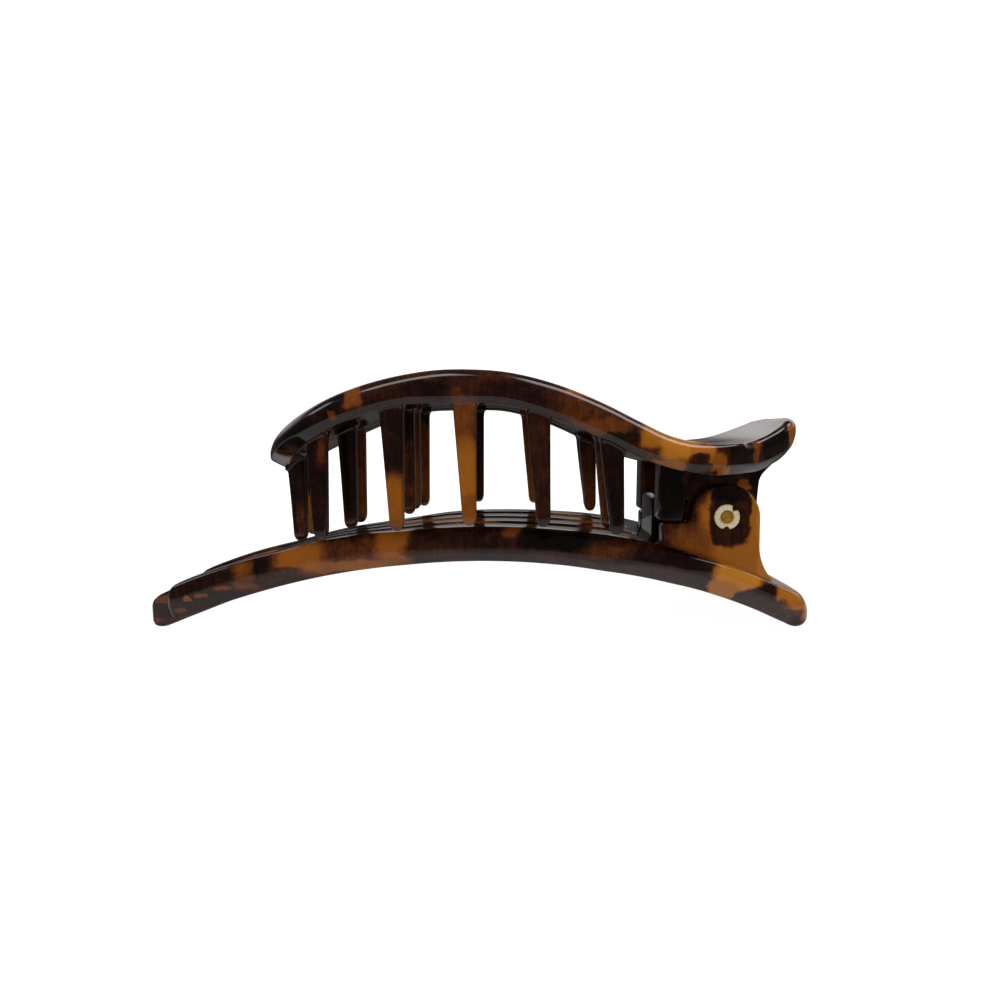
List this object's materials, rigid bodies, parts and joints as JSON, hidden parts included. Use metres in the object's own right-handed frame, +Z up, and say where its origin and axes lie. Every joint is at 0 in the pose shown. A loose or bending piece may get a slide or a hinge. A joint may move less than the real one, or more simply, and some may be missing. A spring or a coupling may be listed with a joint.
{
  "type": "hair clip",
  "caption": "Moulded tortoiseshell hair clip: an arched, toothed upper jaw is sprung on a hinge pin against a curved, slotted lower jaw.",
  "frame": {"origin": "on the ground under the middle of the closed clip's box", "axes": "+X along the clip towards the thumb tails, +Y across it along the hinge pin, +Z up; the lower jaw's prong tips and its tail stand on Z = 0"},
  "size_m": [0.1166, 0.04, 0.044],
  "materials": {
    "upper_jaw_acetate": "polished tortoiseshell cellulose acetate",
    "lower_jaw_acetate": "polished tortoiseshell cellulose acetate",
    "hinge_pin_brass": "rolled bright brass",
    "torsion_spring_steel": "drawn spring steel wire"
  },
  "bodies": {
    "lower": {"lower_jaw": "lower_jaw_acetate", "hinge_pin": "hinge_pin_brass", "torsion_spring": "torsion_spring_steel"},
    "upper": {"upper_jaw": "upper_jaw_acetate"}
  },
  "joints": [
    {"name": "jaw_hinge", "type": "hinge", "parent": "lower", "child": "upper", "pos_m": [0.045, 0, 0.01843], "axis": [0, 1, 0], "range_deg": [0, 50], "stiffness_Nm_per_rad": 0.1, "springref_deg": -34.38}
  ]
}
